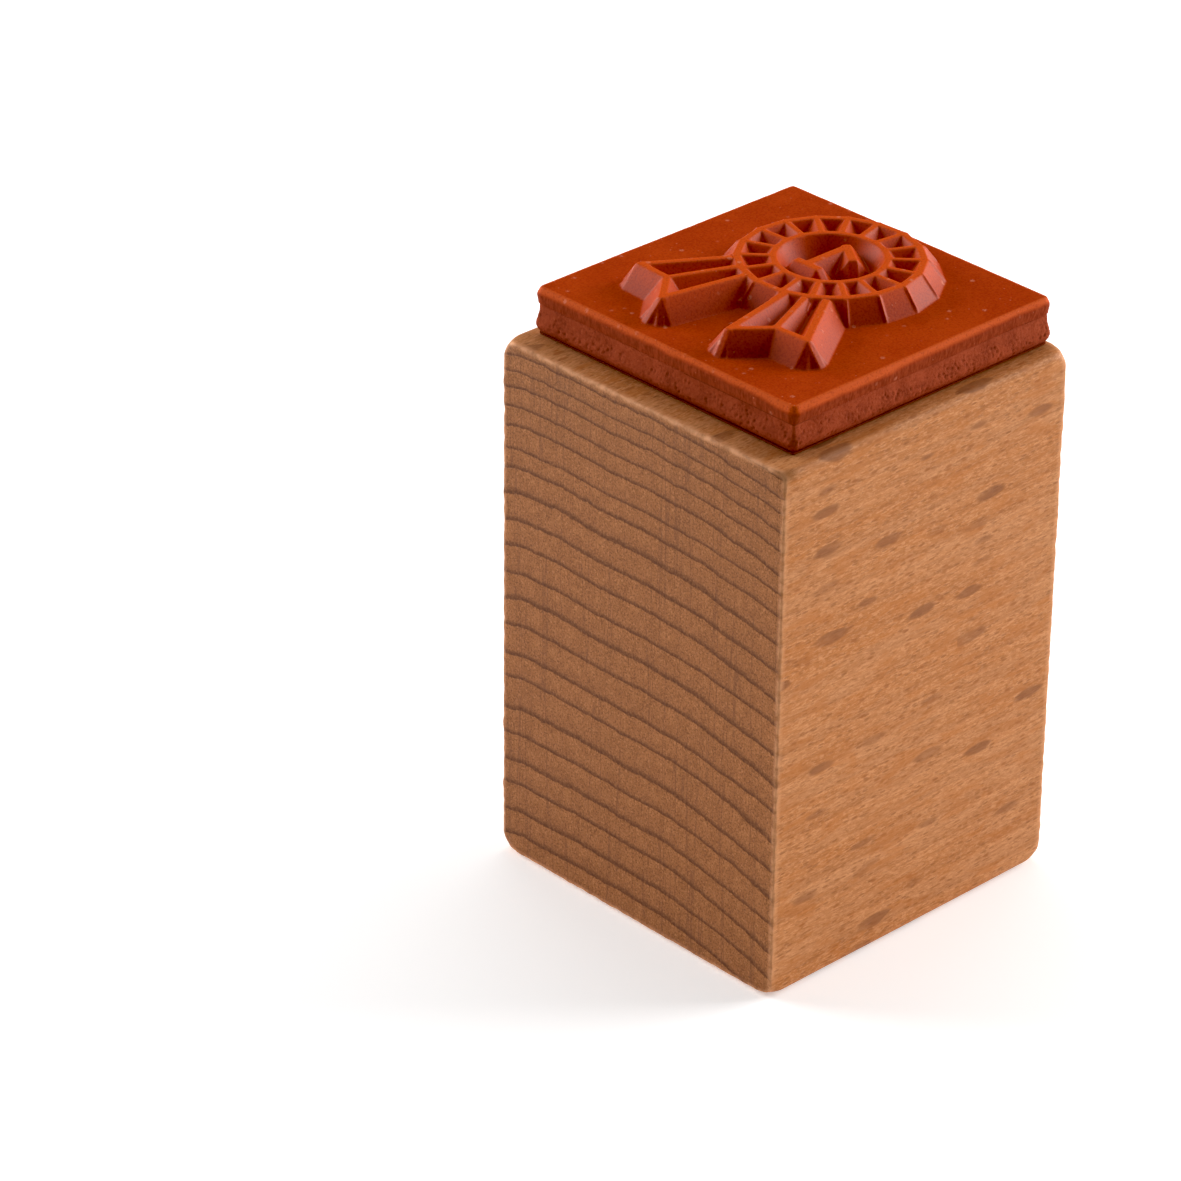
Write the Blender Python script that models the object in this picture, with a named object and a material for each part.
"""Wood-mounted rubber stamp, standing on its index end with the printing die up.

Frame: metres, +Z up. The origin is the centre of the index label's underside, which is
what the stamp stands on. The block's grain runs along X, and the picture on the die
reads with +X as its top, mirrored as every stamp is.

Layers from the bottom up: printed index label, beech block, adhesive film, sponge-rubber
cushion, adhesive film, moulded rubber die. The die and its film move down as one when
the cushion is squeezed.
"""
import math

import bmesh
import bpy
from mathutils import Vector

MM = 0.001

# Beech block: sawn square from strip, its edges only eased by sanding
BLOCK_LENGTH = 20.15 * MM      # along the grain, X
BLOCK_DEPTH = 20.10 * MM       # Y
BLOCK_HEIGHT = 30.00 * MM      # Z
STRIP_RADIUS = 0.35 * MM       # the four edges that run along the grain
STRIP_STEPS = 4
SAWN_BREAK = 0.10 * MM         # sanded edge around each cross-cut end

# Thin layers
GLUE_GAP = 0.05 * MM           # clear space between one solid and the next
FILM_THICKNESS = 0.08 * MM     # each adhesive film, and the index label
FILM_INSET = 0.10 * MM         # the films stop short of the knife-cut edges
LABEL_MARGIN = 0.90 * MM       # bare wood around the index label
LABEL_RADIUS = 1.20 * MM

# Cushion and die are cut together with a knife, off centre along the grain
PAD_SIZE = 18.30 * MM
PAD_CENTRE = Vector((0.65 * MM, 0.15 * MM))
PAD_RADIUS = 0.12 * MM
FOAM_THICKNESS = 1.40 * MM
PLATE_THICKNESS = 0.92 * MM    # the die's base sheet
RELIEF_HEIGHT = 1.20 * MM      # from the sheet to the printing face
DRAFT = 0.92 * MM              # how far each moulded wall leans out over that height
RELIEF_ROOT = 0.30 * MM        # how deep the walls are carried into the sheet
WELD_DISTANCE = 0.003 * MM     # merges the corners where several walls meet

# Picture: a prize rosette with two ribbon tails and a numeral, on its own centre
ROSETTE_CENTRE = Vector((3.10 * MM, 0.02 * MM))
PLEATS = 18
PLEAT_TURN = math.radians(13.4)      # direction of the first pleat line
OUTER_RING = (4.56 * MM, 4.92 * MM)  # printing line, inner and outer radius
INNER_RING = (2.78 * MM, 3.08 * MM)
PLEAT_LINE = 0.27 * MM               # width of a pleat line's printing face
TAIL_LINE = 0.36 * MM
FOLD_LINE = 0.30 * MM                # down the middle of a tail
NUMERAL_LINE = 0.44 * MM
START_OVERRUN = 0.50                 # in line widths, past the first end of a line
END_OVERRUN = 0.38                   # and past its last end

# Ribbon tail on the +Y side; the other one is its mirror image
TAIL_TIP_OUTER = Vector((-7.60 * MM, 5.85 * MM))
TAIL_NOTCH = Vector((-7.72 * MM, 3.86 * MM))
TAIL_TIP_INNER = Vector((-9.45 * MM, 2.38 * MM))
TAIL_ROOT_OUTER = Vector((-3.85 * MM, 3.45 * MM))
TAIL_ROOT_MIDDLE = Vector((-4.45 * MM, 2.50 * MM))
TAIL_ROOT_INNER = Vector((-4.80 * MM, 1.45 * MM))

# Numeral one, mirrored: foot, stem and flag as straight strokes
NUMERAL_FOOT = (Vector((-1.45 * MM, -0.42 * MM)), Vector((-1.45 * MM, 0.84 * MM)))
NUMERAL_STEM = (Vector((-1.45 * MM, 0.27 * MM)), Vector((1.45 * MM, 0.27 * MM)))
NUMERAL_FLAG = (Vector((1.45 * MM, 0.27 * MM)), Vector((0.60 * MM, -0.95 * MM)))

# Heights of the stack
LABEL_Z = 0.0
BLOCK_Z = LABEL_Z + FILM_THICKNESS + GLUE_GAP
BLOCK_TOP = BLOCK_Z + BLOCK_HEIGHT
MOUNT_FILM_Z = BLOCK_TOP + GLUE_GAP
FOAM_Z = MOUNT_FILM_Z + FILM_THICKNESS + GLUE_GAP
DIE_FILM_Z = FOAM_Z + FOAM_THICKNESS + GLUE_GAP
PLATE_Z = DIE_FILM_Z + FILM_THICKNESS + GLUE_GAP
PLATE_TOP = PLATE_Z + PLATE_THICKNESS


def clear_scene():
    for item in list(bpy.data.objects):
        bpy.data.objects.remove(item, do_unlink=True)


def make_material(name, colour, roughness, alpha=1.0):
    material = bpy.data.materials.new(name)
    material.use_nodes = True
    shader = material.node_tree.nodes["Principled BSDF"]
    shader.inputs["Base Color"].default_value = (*colour, 1.0)
    shader.inputs["Roughness"].default_value = roughness
    shader.inputs["Metallic"].default_value = 0.0
    shader.inputs["Alpha"].default_value = alpha
    return material


def make_object(name, bm, material, location, parent=None):
    """Turn a bmesh into a linked object with its faces pointing out."""
    bmesh.ops.recalc_face_normals(bm, faces=bm.faces)
    mesh = bpy.data.meshes.new(name)
    bm.to_mesh(mesh)
    bm.free()
    mesh.materials.append(material)
    item = bpy.data.objects.new(name, mesh)
    item.location = location
    item.parent = parent
    bpy.context.collection.objects.link(item)
    return item


def rounded_rectangle(size_x, size_y, radius, steps):
    """Counter-clockwise outline about the origin, with round corners."""
    points = []
    for corner, (sx, sy) in enumerate(((1, 1), (-1, 1), (-1, -1), (1, -1))):
        centre = Vector((sx * (size_x / 2 - radius), sy * (size_y / 2 - radius)))
        for step in range(steps + 1):
            angle = math.radians(90 * (corner + step / steps))
            points.append(centre + radius * Vector((math.cos(angle), math.sin(angle))))
    return points


def sheet(size_x, size_y, radius, steps, thickness):
    """A flat sheet with round corners, its underside on z = 0."""
    bm = bmesh.new()
    outline = rounded_rectangle(size_x, size_y, radius, steps)
    bottom = bm.faces.new([bm.verts.new((p.x, p.y, 0.0)) for p in outline])
    lifted = bmesh.ops.extrude_face_region(bm, geom=[bottom])["geom"]
    moved = [v for v in lifted if isinstance(v, bmesh.types.BMVert)]
    bmesh.ops.translate(bm, verts=moved, vec=(0.0, 0.0, thickness))
    return bm


def build_wood_block(parent):
    """Strip profile in the YZ plane, run along the grain and cross-cut."""
    bm = bmesh.new()
    profile = rounded_rectangle(BLOCK_DEPTH, BLOCK_HEIGHT, STRIP_RADIUS, STRIP_STEPS)
    ring = [bm.verts.new((-BLOCK_LENGTH / 2, p.x, p.y)) for p in profile]
    near_end = bm.faces.new(ring)
    lifted = bmesh.ops.extrude_face_region(bm, geom=[near_end])["geom"]
    moved = [v for v in lifted if isinstance(v, bmesh.types.BMVert)]
    bmesh.ops.translate(bm, verts=moved, vec=(BLOCK_LENGTH, 0.0, 0.0))
    end_edges = [e for e in bm.edges if abs(e.verts[0].co.x - e.verts[1].co.x) < SAWN_BREAK]
    bmesh.ops.bevel(bm, geom=end_edges, offset=SAWN_BREAK, segments=1, affect="EDGES")
    beech = make_material("beech", (0.55, 0.30, 0.14), 0.65)
    centre = (0.0, 0.0, BLOCK_Z + BLOCK_HEIGHT / 2)
    return make_object("wood_block", bm, beech, centre, parent)


def build_index_label(parent):
    bm = sheet(BLOCK_LENGTH - 2 * LABEL_MARGIN, BLOCK_DEPTH - 2 * LABEL_MARGIN,
               LABEL_RADIUS, 6, FILM_THICKNESS)
    film = make_material("label_film", (0.85, 0.80, 0.72), 0.25)
    return make_object("index_label", bm, film, (0.0, 0.0, LABEL_Z), parent)


def build_pad_layer(name, material, z, thickness, inset, parent):
    """One square layer of the pad: a film, the cushion or the die's sheet."""
    size = PAD_SIZE - 2 * inset
    bm = sheet(size, size, PAD_RADIUS, 3, thickness)
    return make_object(name, bm, material, (*PAD_CENTRE, z), parent)


def corner_normals(outline):
    """Outward unit normal of each side of a counter-clockwise outline."""
    normals = []
    for index, point in enumerate(outline):
        side = (outline[(index + 1) % len(outline)] - point).normalized()
        normals.append(Vector((side.y, -side.x)))
    return normals


def add_drafted_stroke(bm, outline):
    """A moulded wall: flat printing face on top, sides leaning out, corners fanned."""
    count = len(outline)
    normals = corner_normals(outline)
    lean = DRAFT * (RELIEF_HEIGHT + RELIEF_ROOT) / RELIEF_HEIGHT
    top = [bm.verts.new((p.x, p.y, RELIEF_HEIGHT)) for p in outline]
    foot = []
    for index, point in enumerate(outline):
        before = point + lean * normals[index - 1]
        after = point + lean * normals[index]
        foot.append(tuple(bm.verts.new((p.x, p.y, -RELIEF_ROOT)) for p in (before, after)))
    bm.faces.new(top)
    bm.faces.new([vert for pair in reversed(foot) for vert in reversed(pair)])
    for index in range(count):
        following = (index + 1) % count
        bm.faces.new((foot[index][1], foot[following][0], top[following], top[index]))
        bm.faces.new((foot[index][0], foot[index][1], top[index]))


def line_outline(start, end, width):
    """Rectangle around a straight printing line, run a little past both its ends.

    The two overruns differ, so that no three walls meet in one point at a shared end.
    """
    along = (end - start).normalized() * width
    across = Vector((-along.y, along.x)) / 2
    before = start - START_OVERRUN * along
    after = end + END_OVERRUN * along
    return [before - across, after - across, after + across, before + across]


def add_ring(bm, inner, outer):
    """A pleated ring: one flat facet per pleat, both walls leaning out."""
    lean = DRAFT * (RELIEF_HEIGHT + RELIEF_ROOT) / RELIEF_HEIGHT
    section = ((inner - lean, -RELIEF_ROOT), (inner, RELIEF_HEIGHT),
               (outer, RELIEF_HEIGHT), (outer + lean, -RELIEF_ROOT))
    loops = []
    for pleat in range(PLEATS):
        angle = PLEAT_TURN + 2 * math.pi * pleat / PLEATS
        loops.append([bm.verts.new((r * math.cos(angle), r * math.sin(angle), z))
                      for r, z in section])
    for pleat, loop in enumerate(loops):
        following = loops[(pleat + 1) % PLEATS]
        for corner in range(len(section)):
            other = (corner + 1) % len(section)
            bm.faces.new((loop[corner], following[corner], following[other], loop[other]))


def mirrored(point):
    return Vector((point.x, -point.y))


def relief_lines():
    """Every straight printing line as (start, end, width), about the rosette's centre."""
    lines = []
    for pleat in range(PLEATS):
        angle = PLEAT_TURN + 2 * math.pi * pleat / PLEATS
        direction = Vector((math.cos(angle), math.sin(angle)))
        lines.append((direction * sum(INNER_RING) / 2, direction * sum(OUTER_RING) / 2,
                      PLEAT_LINE))
    tail = ((TAIL_ROOT_OUTER, TAIL_TIP_OUTER, TAIL_LINE),
            (TAIL_TIP_OUTER, TAIL_NOTCH, TAIL_LINE),
            (TAIL_NOTCH, TAIL_TIP_INNER, TAIL_LINE),
            (TAIL_TIP_INNER, TAIL_ROOT_INNER, TAIL_LINE),
            (TAIL_ROOT_MIDDLE, TAIL_NOTCH, FOLD_LINE))
    for start, end, width in tail:
        lines.append((start, end, width))
        lines.append((mirrored(start), mirrored(end), width))
    for start, end in (NUMERAL_FOOT, NUMERAL_STEM, NUMERAL_FLAG):
        lines.append((start, end, NUMERAL_LINE))
    return lines


def build_relief_tool(material):
    """All the drafted walls as overlapping closed shells, for the union with the sheet."""
    bm = bmesh.new()
    add_ring(bm, *OUTER_RING)
    add_ring(bm, *INNER_RING)
    for start, end, width in relief_lines():
        add_drafted_stroke(bm, line_outline(start, end, width))
    tool = make_object("relief_walls", bm, material, (*ROSETTE_CENTRE, PLATE_TOP))
    tool.hide_render = True
    tool.display_type = "WIRE"
    return tool


def build_rubber_die(material, parent):
    """The moulded die: base sheet and relief in one piece of rubber."""
    die = build_pad_layer("rubber_die", material, PLATE_Z, PLATE_THICKNESS, 0.0, parent)
    union = die.modifiers.new("relief", "BOOLEAN")
    union.operation = "UNION"
    union.solver = "EXACT"
    union.use_self = True
    union.object = build_relief_tool(material)
    weld = die.modifiers.new("weld", "WELD")
    weld.merge_threshold = WELD_DISTANCE
    return die


def build_stamp():
    clear_scene()
    block = bpy.data.objects.new("block_frame", None)
    bpy.context.collection.objects.link(block)
    press = bpy.data.objects.new("press_frame", None)
    bpy.context.collection.objects.link(press)
    press.parent = block
    film = make_material("adhesive_film", (0.80, 0.74, 0.62), 0.40)
    sponge = make_material("sponge_rubber", (0.20, 0.04, 0.02), 0.95)
    rubber = make_material("red_rubber", (0.36, 0.045, 0.008), 0.60)
    build_wood_block(block)
    build_index_label(block)
    build_pad_layer("mount_adhesive", film, MOUNT_FILM_Z, FILM_THICKNESS, FILM_INSET, block)
    build_pad_layer("foam_cushion", sponge, FOAM_Z, FOAM_THICKNESS, 0.0, block)
    build_pad_layer("die_adhesive", film, DIE_FILM_Z, FILM_THICKNESS, FILM_INSET, press)
    build_rubber_die(rubber, press)


build_stamp()
